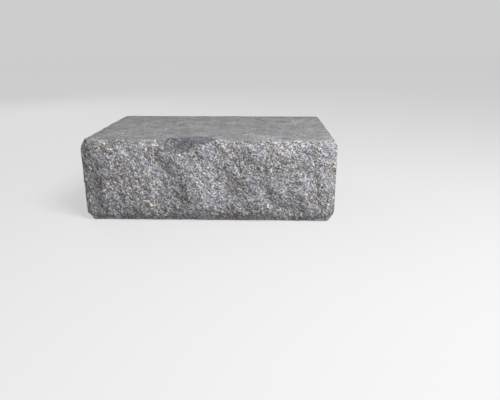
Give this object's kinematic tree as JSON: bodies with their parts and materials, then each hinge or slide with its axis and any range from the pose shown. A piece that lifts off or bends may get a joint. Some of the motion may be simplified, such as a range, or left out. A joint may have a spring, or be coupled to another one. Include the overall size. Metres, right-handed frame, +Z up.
{
  "type": "wall brick",
  "caption": "Solid grey concrete wall brick with a rough split front face, tumbled edges, knocked-off corners and flat beds, for dry-laid garden and retaining walls.",
  "frame": {"origin": "under the middle of the brick, on the plane of its lower bed", "axes": "+X along the wall, +Y into the wall so that the split face looks along -Y, +Z up"},
  "size_m": [0.3, 0.2, 0.1],
  "materials": {
    "concrete": "matt grey concrete, rough where it was split"
  },
  "bodies": {
    "root": {"wall_brick": "concrete"}
  },
  "joints": []
}
